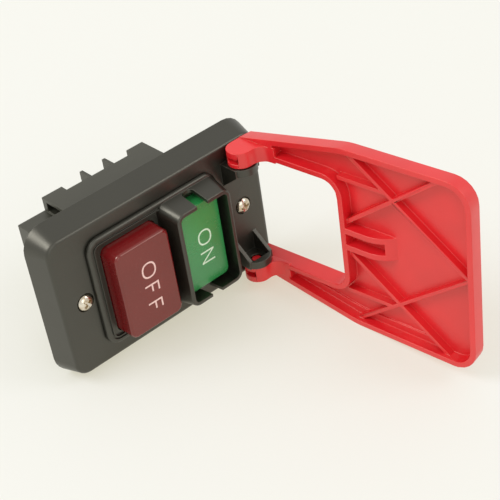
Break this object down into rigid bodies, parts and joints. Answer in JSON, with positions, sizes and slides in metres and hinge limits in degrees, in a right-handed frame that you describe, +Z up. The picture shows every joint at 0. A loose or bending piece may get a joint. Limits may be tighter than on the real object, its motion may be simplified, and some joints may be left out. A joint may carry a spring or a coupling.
{
  "type": "paddle stop switch",
  "caption": "Machine ON/OFF safety switch: recessed green ON button, red OFF button and a large red stop paddle hinged on a black skirted faceplate, with a terminal block behind.",
  "frame": {"origin": "centre of the faceplate's rear rim, in the plane of the panel it screws to", "axes": "+X along the faceplate towards the hinge end, +Y back into the panel, +Z up along the hinge axis"},
  "size_m": [0.1221, 0.1554, 0.0884],
  "materials": {
    "black_plastic": "satin moulded",
    "housing_plastic": "satin moulded",
    "off_plastic": "semi-gloss moulded",
    "on_plastic": "semi-gloss moulded",
    "paddle_plastic": "semi-gloss moulded",
    "off_lettering": "printed",
    "on_lettering": "printed",
    "nickel_plate": "bright nickel",
    "zinc_steel": "zinc plated",
    "spring_steel": "drawn wire",
    "magnet_steel": "rolled",
    "brass_strip": "stamped",
    "silver_contact": "stamped",
    "copper_wire": "enamelled",
    "natural_plastic": "satin moulded"
  },
  "bodies": {
    "base": {"faceplate": "black_plastic", "front_frame": "black_plastic", "switch_housing": "housing_plastic", "inner_plate": "natural_plastic", "rear_cover": "housing_plastic", "magnet_yoke": "magnet_steel", "coil_bobbin": "natural_plastic", "coil_winding": "copper_wire", "faceplate_screw_left": "nickel_plate", "faceplate_screw_right": "nickel_plate", "cover_screw_1": "zinc_steel", "cover_screw_2": "zinc_steel", "terminal_1": "brass_strip", "terminal_2": "brass_strip", "terminal_3": "brass_strip", "terminal_4": "brass_strip", "terminal_5": "brass_strip", "terminal_6": "brass_strip", "off_return_spring": "spring_steel", "on_return_spring": "spring_steel", "carriage_spring": "spring_steel"},
    "paddle": {"stop_paddle": "paddle_plastic"},
    "off": {"off_button": "off_plastic"},
    "on": {"on_button": "on_plastic"},
    "contact_carriage": {"contact_carrier": "natural_plastic", "armature": "magnet_steel", "moving_contact_1": "silver_contact", "moving_contact_2": "silver_contact", "contact_spring_1": "spring_steel", "contact_spring_2": "spring_steel"}
  },
  "joints": [
    {"name": "paddle_hinge", "type": "hinge", "parent": "base", "child": "paddle", "pos_m": [0.04, -0.018, 0], "axis": [0, 0, 1], "range_deg": [-97, 0]},
    {"name": "off_button_slide", "type": "slide", "parent": "base", "child": "off", "axis": [0, 1, 0], "range_m": [0, 0.003], "stiffness_N_per_m": 400},
    {"name": "on_button_slide", "type": "slide", "parent": "base", "child": "on", "axis": [0, 1, 0], "range_m": [0, 0.003], "stiffness_N_per_m": 400},
    {"name": "contact_carriage_slide", "type": "slide", "parent": "base", "child": "contact_carriage", "axis": [0, 1, 0], "range_m": [0, 0.003]}
  ],
  "couplings": [
    {"joint": "contact_carriage_slide", "follows": "on_button_slide", "ratio": 1}
  ]
}
